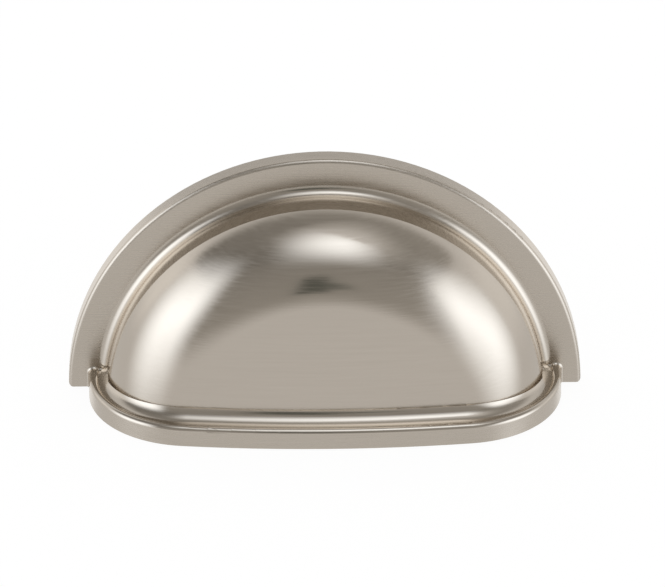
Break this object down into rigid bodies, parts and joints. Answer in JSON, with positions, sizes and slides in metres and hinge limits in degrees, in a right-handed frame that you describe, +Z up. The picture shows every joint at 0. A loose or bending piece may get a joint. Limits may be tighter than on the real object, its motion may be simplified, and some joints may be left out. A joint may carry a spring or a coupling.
{
  "type": "cup pull",
  "caption": "Half-round cup pull for a drawer, cast as one hollow shell with a flat flange, a domed cup, a moulded rim and tapped screw bosses behind.",
  "frame": {"origin": "midway between the two fixing holes, on the mounting face", "axes": "+Y out of the mounting face into the drawer front, the cup projects along -Y; +Z up, away from the open finger side; +X along the flange's width"},
  "size_m": [0.095, 0.0271, 0.0475],
  "materials": {
    "satin_nickel": "die-cast zinc with brushed satin nickel plate"
  },
  "bodies": {
    "root": {"cup_pull": "satin_nickel"}
  },
  "joints": []
}
